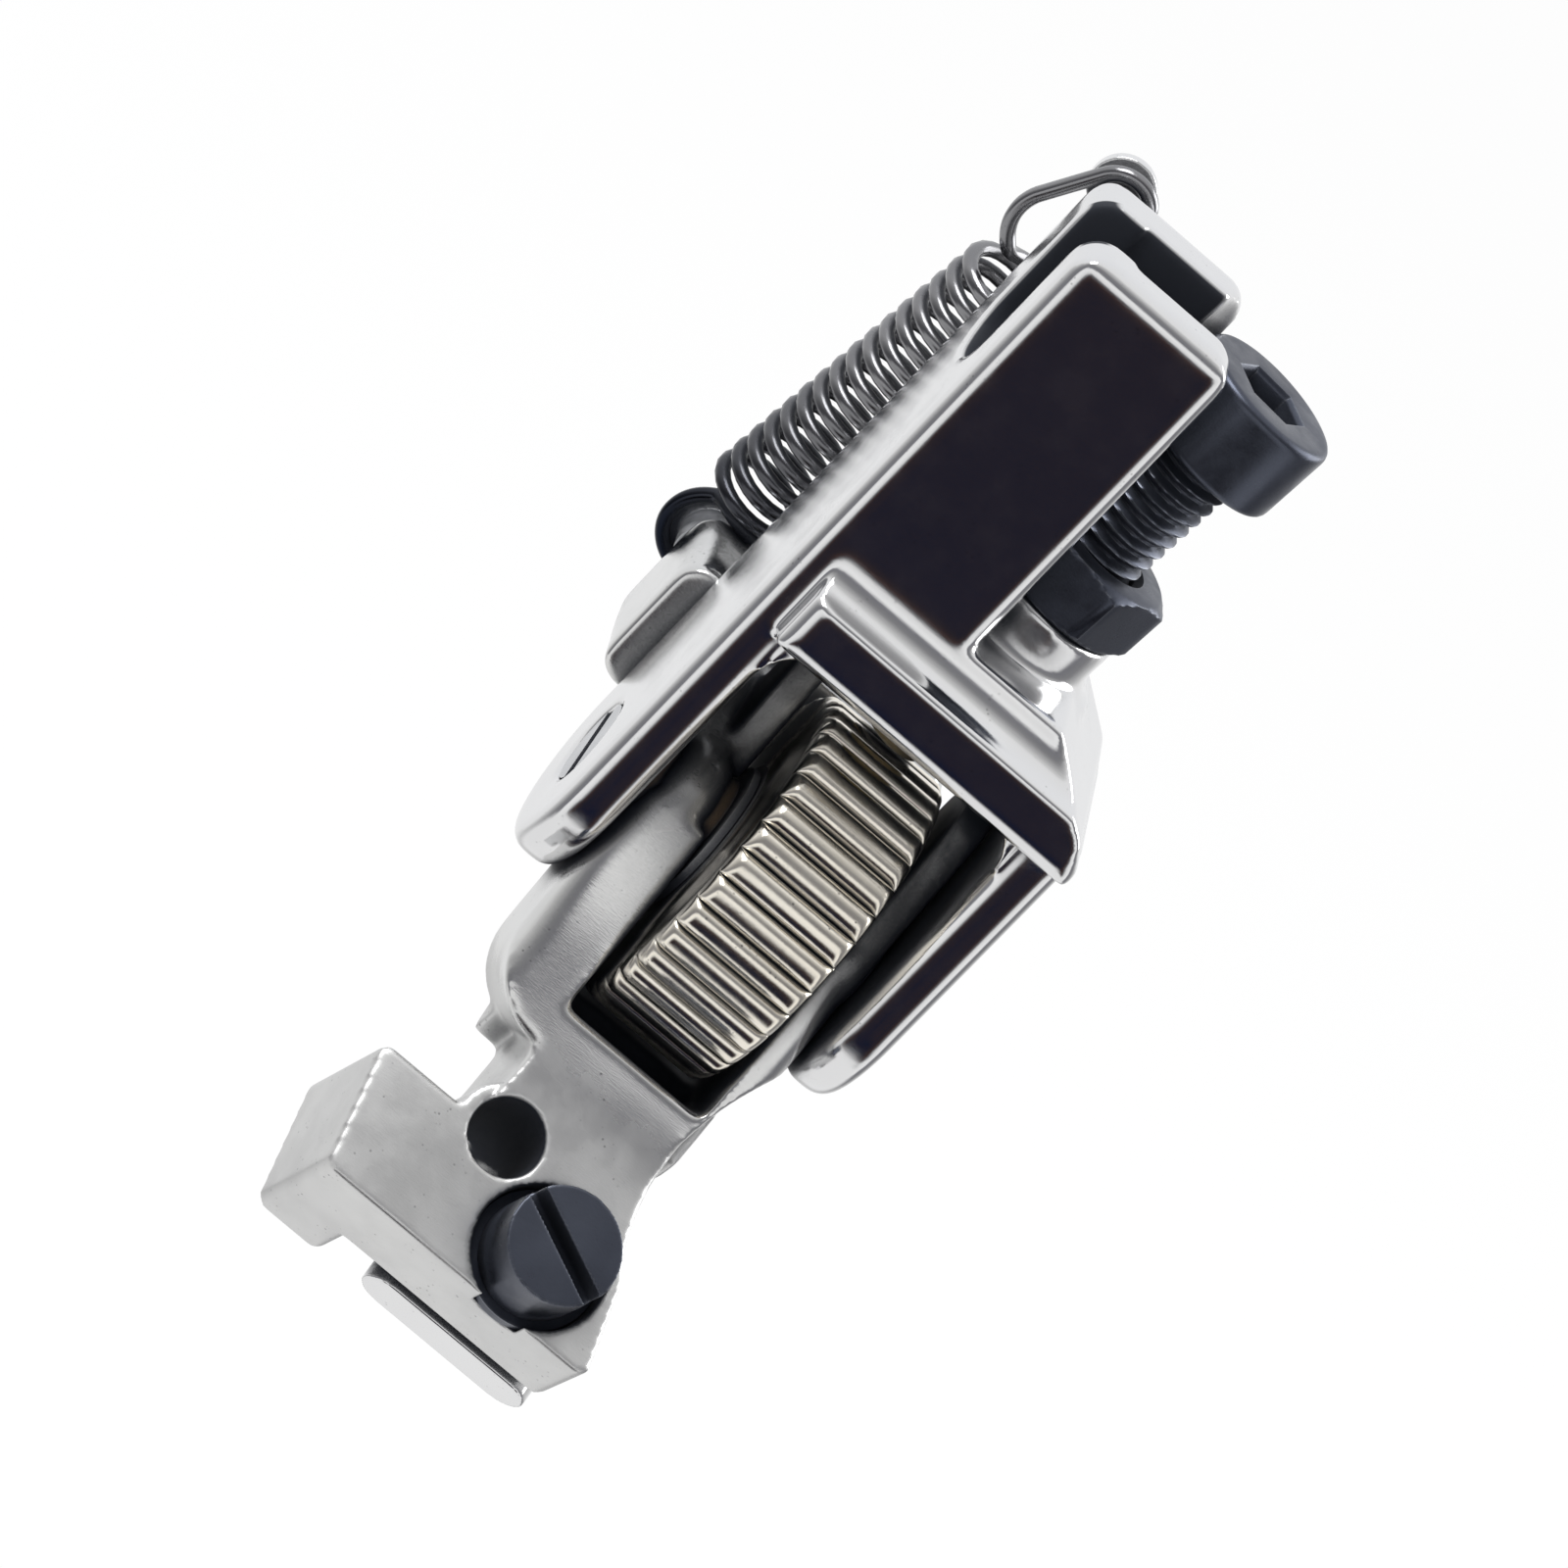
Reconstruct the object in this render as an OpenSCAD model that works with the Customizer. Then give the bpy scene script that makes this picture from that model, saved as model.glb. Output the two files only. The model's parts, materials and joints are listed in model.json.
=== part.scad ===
// Fluted roller presser foot of an industrial sewing machine.
// A sprung fork lever with the toe swings on the axle of a free-wheeling fluted roller,
// and both are carried by a yoke whose shank clamps to the presser bar.
// Shapes are drawn round the axle: X runs along it, Y points back, Z up the shank.
// on_bar() then moves each piece, so that the origin lies on the channel's floor,
// at the clamp screw's axis.

/* [Yoke] */
// Width over both cheeks
yoke_w = 17.7; // [17.2:0.1:18.6]
// Depth of the shank and the cheeks, front to back
yoke_d = 10.7; // [10.2:0.1:11.4]
// Thickness of each cheek
cheek_t = 2.4; // [2:0.1:2.6]
// Height of the shank's top above the axle
shank_top = 32.5; // [31.4:0.1:34]
// Width of the shank
shank_w = 8.3; // [7.6:0.1:8.6]
// Thickness of the shank's left wall
wall_t = 2.5; // [2.2:0.1:2.8]
// Width of the channel for the presser bar
channel_w = 5.2; // [4.8:0.1:5.4]
// Height of the channel's end above the axle
channel_floor = 19.4; // [19.3:0.1:21]
// Width of the slot for the clamp screw
slot_w = 4.4; // [4.2:0.1:4.8]
// Height of the clamp screw's axis above the axle
clamp_z = 26.2; // [25:0.1:27]
// How far channel and slot sit in front of the shank's middle
channel_y = 0.2; // [0:0.05:0.3]
// Height of the bridge's underside above the axle
bridge_z = 11.1; // [10.2:0.1:11.4]
// Height of the bridge's top above the axle
bridge_top = 15.9; // [15.4:0.1:16.6]
// How far the hood stands forward of the shank
hood_out = 1.9; // [1.4:0.1:2.4]
// Rounding of the polished outer edges
edge_r = 0.9; // [0.5:0.05:1]
// Radius of the fillets in the window's upper corners
window_r = 2; // [1:0.1:2.2]

/* [Roller] */
// Radius of the roller over its ridges
roller_r = 8.2; // [7.8:0.05:8.3]
// Width of the roller
roller_w = 6.5; // [5.8:0.1:6.6]
// Number of flutes
flutes = 34; // [30:1:38]
// Chamfer at the roller's ends
roller_chamfer = 0.45; // [0.2:0.05:0.6]
// How far the roller sits to the right of the yoke's middle
roller_off = 0.95; // [0.8:0.05:1.1]
// Diameter of the axle
axle_d = 4; // [3.6:0.1:4.2]
// Outer diameter of the one-way clutch
clutch_d = 8; // [7.8:0.1:9]
// Diameter of the clutch's needle rollers
needle_d = 1; // [0.8:0.05:1.1]
// Number of needle rollers
needles = 8; // [6:1:9]

/* [Fork lever] */
// Forward lean of the arms from upright
arm_lean = 24; // [21:0.5:26]
// Thickness of arms and neck, front to back
arm_t = 6.8; // [6.2:0.1:7]
// Radius of the arms' round ends
hub_r = 3.4; // [3.2:0.1:3.8]
// Gap between the roller and each side of its pocket
pocket_gap = 0.45; // [0.4:0.05:0.6]
// Distance from the axle down to the pocket's end
pocket_end = 9.3; // [9:0.1:9.8]
// Left side of the neck, from the yoke's left face
neck_x = 6.1; // [5.8:0.1:6.6]
// Width of the neck
neck_w = 7.5; // [7.2:0.1:8]
// Wall of the bronze bushes in the arms
bush_t = 0.7; // [0.5:0.05:0.8]

/* [Toe] */
// Forward lean of the toe's face from upright
toe_lean = 45; // [42:0.2:47]
// How far the toe's face lies behind the axle, square to it
toe_face = 1.7; // [1.5:0.1:1.9]
// Left end of the toe, from the yoke's left face
toe_x = 0.9; // [0.6:0.1:1.4]
// Width of the toe
toe_w = 14.3; // [13.8:0.1:15]
// How far the toe's ends slant to the right, from its upper to its front edge
toe_slant = 1; // [0:0.1:1.4]
// Distance from the axle to the toe's upper edge
toe_up = 15.7; // [15.2:0.1:16.2]
// Length of the toe from its upper to its front edge
toe_l = 6; // [5.6:0.1:6.6]
// Thickness of the toe's web
web_t = 5.2; // [4.8:0.1:5.6]
// Thickness of the toe's left skid
skid_t = 8.6; // [8.4:0.1:9]
// Width of the left skid
skid_w = 3.6; // [3:0.1:3.8]
// Diameter of the needle hole
needle_hole_d = 3.4; // [3:0.1:3.6]
// Wall round the needle hole where it breaks the toe's upper edge
needle_wall = 0.7; // [0.5:0.1:1]
// Needle hole, from the yoke's left face
needle_x = 7.5; // [7.3:0.1:7.7]
// How far the needle hole's middle lies above the toe's upper edge
needle_up = 0.1; // [0:0.1:0.4]
// Toe screw, from the yoke's left face
toe_screw_x = 11.7; // [11.5:0.1:11.9]
// Toe screw, distance down from the toe's upper edge
toe_screw_in = 3; // [2.8:0.1:3.2]
// Head diameter of the toe screw
toe_head_d = 5.2; // [4.8:0.1:5.4]
// Head height of the toe screw
toe_head_h = 3.5; // [2.8:0.1:3.8]
// Width of the sole plate
sole_w = 8.8; // [8:0.1:9]
// Thickness of the sole plate
sole_t = 2.5; // [2.2:0.1:2.8]

/* [Adjuster] */
// Thread diameter of the adjusting screw
thread_d = 4; // [3.8:0.1:4]
// Length of the adjusting screw under its head
thread_l = 16; // [14:1:16]
// Head diameter of the adjusting screw
head_d = 7; // [6.6:0.1:7]
// Size of the socket across its flats
socket_af = 3; // [2.5:0.1:3.2]
// Size of the lock nut across its flats
nut_af = 7; // [6.6:0.1:7]
// Height of the lock nut
nut_h = 3; // [2.6:0.1:3.4]
// Outward tilt of the screw from upright
screw_tilt = 4; // [3:0.5:5]
// Height of the boss's top above the axle
boss_top = 18.1; // [17.8:0.1:18.6]
// Diameter of the boss
boss_d = 7.3; // [7.1:0.1:7.8]
// Height of the screw head's underside above the boss
head_up = 8.8; // [8:0.1:9.2]

/* [Spring] */
// Wire diameter of the spring
wire_d = 0.7; // [0.6:0.02:0.72]
// Mean radius of the spring's coils
coil_r = 2.3; // [2.1:0.05:2.4]
// Mean radius of the upper loop
loop_r = 2.6; // [2.5:0.05:2.7]
// Number of coils
coils = 16; // [13:1:16]

/* [Hidden] */
$fn = 96;

eps = 0.01;
fit = 0.03; // radial clearance of running fits
side_gap = 0.1; // clearance between neighbouring flat faces that move
deep = 60; // longer than any cut

window_l = cheek_t;
window_r_x = yoke_w - cheek_t;
shank_front = -yoke_d / 2;
hood_inset = 1.6; // the hood starts this far from the left face
hood_edge = 0.9; // rounding of the hood's lower edge
shank_corner = 1.5; // rounding of the shank's upper corners, seen from the front
roller_x = yoke_w / 2 + roller_off;
roller_left = roller_x - roller_w / 2;
roller_right = roller_x + roller_w / 2;
pocket_l = roller_left - pocket_gap;
pocket_r = roller_right + pocket_gap;
arm_left = window_l + side_gap;
arm_right = window_r_x - side_gap;
arm_round = 1.4; // rounding of the arms' outer edges
hub_round = 1.7; // rounding of the arms' tips, at most half their thickness
shoulder_z = -7.8; // middle of the fork's shoulders
fork_low = -toe_up - 0.8; // end of the neck, inside the toe
flare_r = 11;
bush_r = axle_d / 2 + fit + bush_t;
raceway_r = axle_d / 2 + fit / 2 + needle_d + fit / 2;
lip_t = 0.6; // lips of the clutch shell
thrust_r = 3.6;

// the screw's foot: where its axis crosses the boss's top
screw_x = 10.1;
screw_y = 1.3;
nut_corner = nut_af / sqrt(3);
relief_r = nut_corner + 0.15;
plug_r = 1.5;
plug_l = 2.3;
boss_fillet = 1.2;

toe_down = toe_up + toe_l;
needle_down = toe_up - needle_up;
toe_screw_down = toe_up + toe_screw_in;
web_back = toe_face + web_t;
skid_back = toe_face + skid_t;
seat_floor = toe_face + 1.4;
washer_t = 0.6;
toe_thread_d = 3;
sole_x = 7.4;
sole_top = skid_back - sole_t;
sole_h = 4.6; // length of the sole plate along the toe
pin_r = 0.8; // shank of the spring post

anchor_x = 1.7;
anchor_z = shank_top - 1.5;
anchor_r = 0.9;
anchor_head_r = 1.5;
anchor_l = 3.3;
post_x = 0.3;
post_z = 4.9;
post_r = 1.4;
post_head_r = 2;
post_l = 2.4;
post_head_t = 0.8;
pin_l = 2; // held in the tail
tail_back = 12.9;
tail_t = 3;

// loop centres of the spring: each loop hangs on its pin
hang = 0.12;
low_r = coil_r;
hook_h = 3.3; // the hook narrows upwards over this height, from loop_r to the pin's radius
hook_r = anchor_r + wire_d / 2 + hang;
hook_turn = asin((loop_r - hook_r) / hook_h);
hook_tip = [anchor_x, 7.2, anchor_z];
loop_low = [post_x, 14.2, post_z + (low_r - wire_d / 2 - post_r - hang)];
span = hook_tip - loop_low;
spring_l = norm(span) - hook_h;
lean_x = asin(-span.y / norm(span));
lean_y = asin(span.x / norm(span) / cos(lean_x));
coil_low = low_r + 0.5;
coil_high = spring_l - loop_r - 0.5;
pitch = (coil_high - coil_low) / coils;

module on_bar() translate([-wall_t, channel_y, -clamp_z]) children();

// extrudes a (Y, Z) outline along X
module along_x(x, length) translate([x, 0, 0]) rotate([90, 0, 90]) linear_extrude(length) children();

// extrudes an (X, Z) outline along Y
module along_y(y, length) translate([0, y + length, 0]) rotate([90, 0, 0]) linear_extrude(length) children();

module round_rect(w, d, r) {
    translate([r, 0]) square([w - 2 * r, d]);
    translate([0, r]) square([w, d - 2 * r]);
    for (x = [r, w - r])
        for (y = [r, d - r])
            translate([x, y]) circle(r);
}

// a disc on the axle with a rounded rim
module round_disc(x, r, t, rim) translate([x, 0, 0]) rotate([0, 90, 0]) rotate_extrude() {
    edge = min(rim, t / 2 - 0.1);
    square([r - edge, t]);
    translate([0, edge]) square([r, t - 2 * edge]);
    translate([r - edge, edge]) circle(edge);
    translate([r - edge, t - edge]) circle(edge);
}

module rod_x(x, length, r) translate([x, 0, 0]) rotate([0, 90, 0]) cylinder(h = length, r = r);

module rod_y(x, y, z, length, r) translate([x, y, z]) rotate([-90, 0, 0]) cylinder(h = length, r = r);

// a ring on the axle
module ring_x(x, length, r_in, r_out) difference() {
    rod_x(x, length, r_out);
    rod_x(x - 1, length + 2, r_in);
}

// places children on the adjusting screw's axis, with z = 0 at the boss's top
module on_screw() translate([screw_x, screw_y, boss_top]) rotate([0, screw_tilt, 0]) children();

module in_toe() rotate([-toe_lean, 0, 0]) children();

module in_arm() rotate([-arm_lean, 0, 0]) children();

// ---- yoke ----

module cheek(x) {
    round_disc(x, yoke_d / 2, cheek_t, edge_r);
    translate([x, shank_front, 0]) linear_extrude(bridge_z + 1) round_rect(cheek_t, yoke_d, edge_r);
}

module bridge_front() polygon([[0, bridge_z], [0, bridge_top], [shank_w + 5, bridge_top],
    [yoke_w - edge_r, bridge_top - 2.6], [yoke_w, bridge_top - 4], [yoke_w, bridge_z]]);

// side outline of the bridge in (Y, Z): the hood runs up into the shank with a hollow curve
module bridge_side() {
    hood_front = shank_front - hood_out;
    difference() {
        union() {
            translate([hood_front, bridge_z + hood_edge]) square([hood_out, bridge_top - bridge_z]);
            translate([hood_front + hood_edge, bridge_z])
                square([yoke_d + hood_out - hood_edge, bridge_top - bridge_z]);
            translate([hood_front + hood_edge, bridge_z + hood_edge]) circle(hood_edge);
        }
        translate([hood_front, bridge_top]) circle(hood_out);
        translate([hood_front, bridge_top]) square([hood_out, 2 * hood_edge]);
    }
}

module hood_plan() {
    translate([0, shank_front]) round_rect(yoke_w, yoke_d, edge_r);
    translate([hood_inset, shank_front - hood_out]) round_rect(yoke_w - hood_inset, yoke_d, edge_r);
}

module bridge() intersection() {
    along_y(shank_front - hood_out, yoke_d + hood_out) bridge_front();
    along_x(0, yoke_w) bridge_side();
    linear_extrude(bridge_top) hood_plan();
}

module shank() intersection() {
    translate([0, shank_front, bridge_z]) linear_extrude(shank_top - bridge_z)
        round_rect(shank_w, yoke_d, edge_r);
    along_x(0, shank_w) translate([shank_front, 0]) round_rect(yoke_d, shank_top, edge_r);
    along_y(shank_front, yoke_d) round_rect(shank_w, shank_top, shank_corner);
}

module boss() on_screw() {
    translate([0, 0, -8]) cylinder(h = 8, d = boss_d);
    // fillet where the boss stands on the bridge
    translate([0, 0, bridge_top - boss_top - 0.3]) rotate_extrude() difference() {
        square([boss_d / 2 + boss_fillet, boss_fillet]);
        translate([boss_d / 2 + boss_fillet, boss_fillet]) circle(boss_fillet);
    }
}

module window_fillet(side) difference() {
    translate([side * window_r, window_r]) square(2 * window_r, center = true);
    circle(window_r);
}

module window_corner(x, side) along_y(shank_front, yoke_d) translate([x, bridge_z - window_r])
    intersection() {
        window_fillet(side);
        translate([side < 0 ? -window_r - eps : 0, 0]) square([window_r + eps, window_r + eps]);
    }

module shank_yoke() color("silver") on_bar() difference() {
    union() {
        cheek(0);
        cheek(yoke_w - cheek_t);
        bridge();
        shank();
        intersection() {
            boss();
            translate([0, shank_front, bridge_z]) cube([yoke_w, yoke_d, boss_top]);
        }
        window_corner(window_l + window_r, -1);
        window_corner(window_r_x - window_r, 1);
    }
    // channel for the presser bar, open to the right and at the top
    translate([wall_t, -channel_y - channel_w / 2, channel_floor]) cube([deep, channel_w, deep]);
    // slot for the clamp screw
    along_x(-1, wall_t + 2) translate([-channel_y, clamp_z]) {
        circle(slot_w / 2);
        translate([-slot_w / 2, 0]) square([slot_w, deep]);
    }
    // room for the nut and the screw's head
    on_screw() cylinder(h = deep, r = relief_r);
    on_screw() translate([0, 0, -deep / 2]) cylinder(h = deep, r = thread_d / 2 + fit);
    rod_x(-1, yoke_w + 2, axle_d / 2 + fit);
    rod_y(anchor_x, yoke_d / 2 - 2, anchor_z, 3, anchor_r + fit / 3);
}

module axle_screw() color("dimgray") on_bar() difference() {
    rod_x(side_gap, yoke_w - 2 * side_gap, axle_d / 2);
    rotate([35, 0, 0]) translate([-1, -axle_d, -0.4]) cube([side_gap + 1.9, 2 * axle_d, 0.8]);
}

// ---- roller and clutch ----

module flute_outline() {
    ridge_step = 360 / flutes;
    lobe_r = (roller_r - 0.3) * sin(ridge_step / 2);
    circle(roller_r - lobe_r - 0.05);
    for (i = [0:flutes - 1])
        rotate(i * ridge_step) translate([roller_r - lobe_r, 0]) circle(lobe_r);
}

module feed_wheel() color("wheat") on_bar() difference() {
    intersection() {
        translate([roller_left, 0, 0]) rotate([0, 90, 0]) linear_extrude(roller_w) flute_outline();
        translate([roller_left, 0, 0]) rotate([0, 90, 0]) rotate_extrude()
            polygon([[0, 0], [roller_r - roller_chamfer, 0], [roller_r, roller_chamfer],
                [roller_r, roller_w - roller_chamfer], [roller_r - roller_chamfer, roller_w], [0, roller_w]]);
    }
    rod_x(roller_left - 1, roller_w + 2, clutch_d / 2 + eps);
}

module clutch_shell() color("gainsboro") on_bar() difference() {
    rod_x(roller_left + eps, roller_w - 2 * eps, clutch_d / 2);
    rod_x(roller_left + lip_t, roller_w - 2 * lip_t, raceway_r);
    rod_x(roller_left - 1, roller_w + 2, raceway_r - 0.5);
}

module needle_places() for (i = [0:needles - 1])
    rotate([i * 360 / needles, 0, 0]) translate([0, 0, axle_d / 2 + fit / 2 + needle_d / 2]) children();

module clutch_cage() color("khaki") on_bar() difference() {
    ring_x(roller_left + lip_t + 0.1, roller_w - 2 * lip_t - 0.2, axle_d / 2 + 0.15, raceway_r - 0.15);
    needle_places() rod_x(roller_left + lip_t + 0.35, roller_w - 2 * lip_t - 0.7, needle_d / 2 + 0.06);
}

module clutch_needles() color("gray") on_bar()
    needle_places() rod_x(roller_left + lip_t + 0.4, roller_w - 2 * lip_t - 0.8, needle_d / 2);

module thrust_washer(x, t) ring_x(x, t, axle_d / 2 + 0.05, thrust_r);

module thrust_washer_left() color("gray") on_bar()
    thrust_washer(pocket_l + 0.05, pocket_gap - 0.1);

module thrust_washer_right() color("gray") on_bar()
    thrust_washer(roller_right + 0.05, pocket_gap - 0.1);

// ---- fork lever ----

// outline of arms, shoulders and neck in (X, Z), with the axle at Z = 0
module fork_outline() {
    left_r = 3.6;
    right_r = 2.5;
    difference() {
        union() {
            translate([arm_left, shoulder_z]) square([arm_right - arm_left, -shoulder_z]);
            translate([arm_left + left_r, shoulder_z]) circle(left_r);
            translate([arm_left + left_r, shoulder_z - left_r])
                square([arm_right - right_r - arm_left - left_r, left_r]);
            translate([arm_right - right_r, shoulder_z]) circle(right_r);
            translate([neck_x, fork_low]) square([arm_right - neck_x, shoulder_z - fork_low]);
        }
        // the neck flares to the right, towards the toe
        translate([neck_x + neck_w + flare_r, shoulder_z - left_r]) circle(flare_r);
        translate([neck_x + neck_w, shoulder_z - left_r]) square([right_r, left_r - right_r]);
        translate([neck_x - 1.5, shoulder_z - left_r - 1.5]) circle(1.5);
        translate([neck_x - 4, shoulder_z - left_r - 8]) square([4, 6.5]);
    }
}

// side outline of arms and neck in (Y, Z): below, the front bends into the toe's face
module fork_side() {
    bend = toe_lean - arm_lean;
    face_start = -toe_up - 1.5;
    face_end = [toe_face * cos(bend) + face_start * sin(bend),
        face_start * cos(bend) - toe_face * sin(bend)];
    front = -arm_t / 2;
    // where the two faces would meet
    meet_z = face_end.y + (front - face_end.x) / tan(bend);
    bend_start = 2 * meet_z - face_end.y;
    polygon(concat(
        [[arm_t / 2, fork_low], [arm_t / 2, 0], [front, 0]],
        [for (t = [0:0.125:1]) (1 - t) * (1 - t) * [front, bend_start] + 2 * t * (1 - t) * [front, meet_z]
            + t * t * face_end],
        [[toe_face + 1, face_end.y]]));
}

module fork_body() in_arm() {
    difference() {
        intersection() {
            along_y(-arm_t, 2 * arm_t) fork_outline();
            along_x(arm_left, arm_right - arm_left) fork_side();
            // rounds the long outer edges of the arms
            union() {
                translate([arm_left, -arm_t / 2, -deep / 2]) linear_extrude(deep)
                    round_rect(arm_right - arm_left, arm_t, arm_round);
                translate([neck_x, -arm_t, -deep / 2])
                    cube([arm_right - neck_x, 2 * arm_t, deep / 2 + shoulder_z - 1]);
            }
        }
        translate([pocket_l, -arm_t, -pocket_end]) cube([pocket_r - pocket_l, 2 * arm_t, deep]);
    }
    // lip that closes the pocket behind the roller
    difference() {
        along_x(pocket_l - 1.5, pocket_r - pocket_l + 3) polygon([[2, -11.4], [2, -6], [6, -6], [6, -8.5],
            [3.4, -12.5]]);
        rod_x(0, yoke_w, roller_r + pocket_gap);
    }
    round_disc(arm_left, hub_r, pocket_l - arm_left, hub_round);
    round_disc(pocket_r, hub_r, arm_right - pocket_r, hub_round);
}

module tail() {
    nose_top = bridge_z - side_gap;
    block_y = yoke_d / 2 + 1;
    block_x = -1.1; // the tail reaches past the left cheek
    block_z = 0.2;
    block_h = 6.8;
    finger_w = 3.5;
    // web beside the roller
    along_x(arm_left, tail_t - 0.6) polygon([[0, -3.4], [block_y + tail_t, block_z + 0.4],
        [block_y + tail_t, block_z + block_h - 0.4], [0, 3.3]]);
    // nose that stops the lever under the bridge
    along_x(pocket_l - 1.7, 1.6) polygon([[0, 0], [1, 3.4], [3.2, nose_top], [yoke_d / 2 - 0.2, nose_top],
        [yoke_d / 2, 2]]);
    // cross block behind the left cheek, and the finger that carries the spring post
    along_y(block_y, tail_t) translate([block_x, block_z]) round_rect(arm_left + tail_t + 0.5, block_h, 1.3);
    along_y(block_y + 1, tail_back - block_y - 1) translate([block_x, block_z])
        round_rect(finger_w, block_h, 1.3);
    // bar across, behind the roller
    along_y(roller_r + 0.7, 2.6) translate([block_x, block_z]) round_rect(pocket_r + 1 - block_x, 5.4, 1.2);
}

// a slanted slab of the toe, as wide as given, with its corners cut
module toe_outline(w) {
    cut = 0.4;
    translate([toe_x, -toe_up]) polygon([[cut, 0], [w - 2.5 * cut, 0], [w, -4 * cut],
        [w + toe_slant, cut - toe_l],
        [w + toe_slant - cut, -toe_l], [toe_slant + cut, -toe_l], [toe_slant, cut - toe_l], [0, -cut]]);
}

module toe() in_toe() {
    along_y(toe_face, web_t) toe_outline(toe_w);
    rod_y(needle_x, toe_face, -needle_down, web_t, needle_hole_d / 2 + needle_wall);
    along_y(toe_face, skid_t) toe_outline(skid_w);
}

module fork_lever() color("lightgray") on_bar() difference() {
    union() {
        fork_body();
        tail();
        toe();
    }
    rod_x(-1, yoke_w + 2, bush_r + eps);
    in_toe() {
        rod_y(needle_x, -deep / 2, -needle_down, deep, needle_hole_d / 2);
        rod_y(toe_screw_x, -deep, -toe_screw_down, deep + seat_floor, toe_head_d / 2 + 0.5);
        rod_y(toe_screw_x, 0, -toe_screw_down, deep, toe_thread_d / 2 + 0.1);
    }
    rod_y(post_x, tail_back - pin_l, post_z, pin_l + 1, pin_r + eps);
}

module lever_bush(x, length) ring_x(x, length, axle_d / 2 + fit, bush_r);

module lever_bush_left() color("peru") on_bar() lever_bush(arm_left, pocket_l - arm_left);

module lever_bush_right() color("peru") on_bar() lever_bush(pocket_r, arm_right - pocket_r);

module sole_plate() color("silver") on_bar() in_toe() difference() {
    union() {
        translate([0, 0, -toe_down]) linear_extrude(sole_h) translate([sole_x, sole_top])
            round_rect(sole_w, sole_t, sole_t / 2 - eps);
        translate([sole_x + 1, web_back, -toe_down + 1])
            cube([sole_w - 2, sole_top - web_back + 0.5, sole_h - 1.4]);
    }
    rod_y(toe_screw_x, 0, -toe_screw_down, deep, toe_thread_d / 2 + fit);
}

module toe_screw() color("darkslategray") on_bar() in_toe() difference() {
    union() {
        rod_y(toe_screw_x, seat_floor - washer_t - toe_head_h, -toe_screw_down, toe_head_h, toe_head_d / 2);
        rod_y(toe_screw_x, seat_floor - washer_t - eps, -toe_screw_down,
            skid_back - 0.6 - seat_floor + washer_t, toe_thread_d / 2);
    }
    translate([toe_screw_x, seat_floor - washer_t - toe_head_h, -toe_screw_down]) rotate([0, 26, 0])
        cube([toe_head_d + 1, 2.6, 0.8], center = true);
}

module toe_washer() color("slategray") on_bar() in_toe() difference() {
    rod_y(toe_screw_x, seat_floor - washer_t, -toe_screw_down, washer_t, toe_head_d / 2 + 0.4);
    rod_y(toe_screw_x, 0, -toe_screw_down, deep, toe_thread_d / 2 + 0.1);
}

module spring_post() color("gray") on_bar() {
    rod_y(post_x, tail_back - pin_l + 0.1, post_z, pin_l, pin_r);
    rod_y(post_x, tail_back, post_z, post_l, post_r);
    rod_y(post_x, tail_back + post_l, post_z, post_head_t, post_head_r);
}

module spring_anchor() color("silver") on_bar() {
    rod_y(anchor_x, yoke_d / 2 - 1.9, anchor_z, anchor_l + 1.9, anchor_r);
    translate([anchor_x, yoke_d / 2 + anchor_l, anchor_z]) rotate([-90, 0, 0]) rotate_extrude() {
        square([anchor_head_r, 0.5]);
        translate([0, 0.5]) square([anchor_head_r - 0.4, 0.4]);
        translate([anchor_head_r - 0.4, 0.5]) circle(0.4);
    }
}

// ---- spring: one wire, coiled, with a loop at each end ----

rings_per_coil = 8;
rings_per_loop = 24;
sides = 6;

// one point of the coil; a is counted in degrees from its lower end
function coil_point(a) = [coil_r * cos(a), coil_r * sin(a), coil_low + pitch * a / 360];

// one point of a loop in the plane y = 0; b is counted in degrees from the side it joins
function loop_point(centre, r, b) = [-r * cos(b), 0, centre + r * sin(b)];

// the upper hook: round loop_r below, round the pin above, straight between
function hook_point(b) = b > hook_turn && b < 180 - hook_turn
    ? loop_point(spring_l + hook_h, hook_r, b) : loop_point(spring_l, loop_r, b);

// leaves the coil and swings into the loop over half a turn
function swing(t) = t * t * (3 - 2 * t);
function blend_points(p, q, t) = p + swing(t) * (q - p);
lead = 46; // the loop starts this far before its side

function high_end() = [for (i = [1:rings_per_loop + 4])
    let (t = min(1, i / 5), a = 360 * coils + i * 36, b = -lead + (i - 5) * 12)
    blend_points(coil_point(a), hook_point(b), t)];

function low_end() = [for (i = [rings_per_loop + 4:-1:1])
    let (t = min(1, i / 5), a = -i * 36, b = -lead + (i - 5) * 12)
    let (q = loop_point(0, low_r, b))
    blend_points(coil_point(a), [q.x, q.y, -q.z], t)];

wire_path = concat(
    low_end(),
    [for (i = [0:rings_per_coil * coils]) coil_point(360 * i / rings_per_coil)],
    high_end());

function unit(v) = v / norm(v);
function tangent(i) = unit(wire_path[min(len(wire_path) - 1, i + 1)] - wire_path[max(0, i - 1)]);
function carried(n, t) = unit(n - (n * t) * t);
// a normal for each ring, carried along the wire without twist
normals = [for (i = 0, n = carried([0, 0.3, 1], tangent(0)); i < len(wire_path);
    i = i + 1, n = i < len(wire_path) ? carried(n, tangent(i)) : n) n];
function ring(i) = let (t = tangent(i), n = normals[i], m = cross(t, n))
    [for (k = [0:sides - 1]) let (a = k * 360 / sides) wire_path[i] + wire_d / 2 * (cos(a) * n + sin(a) * m)];

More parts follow.
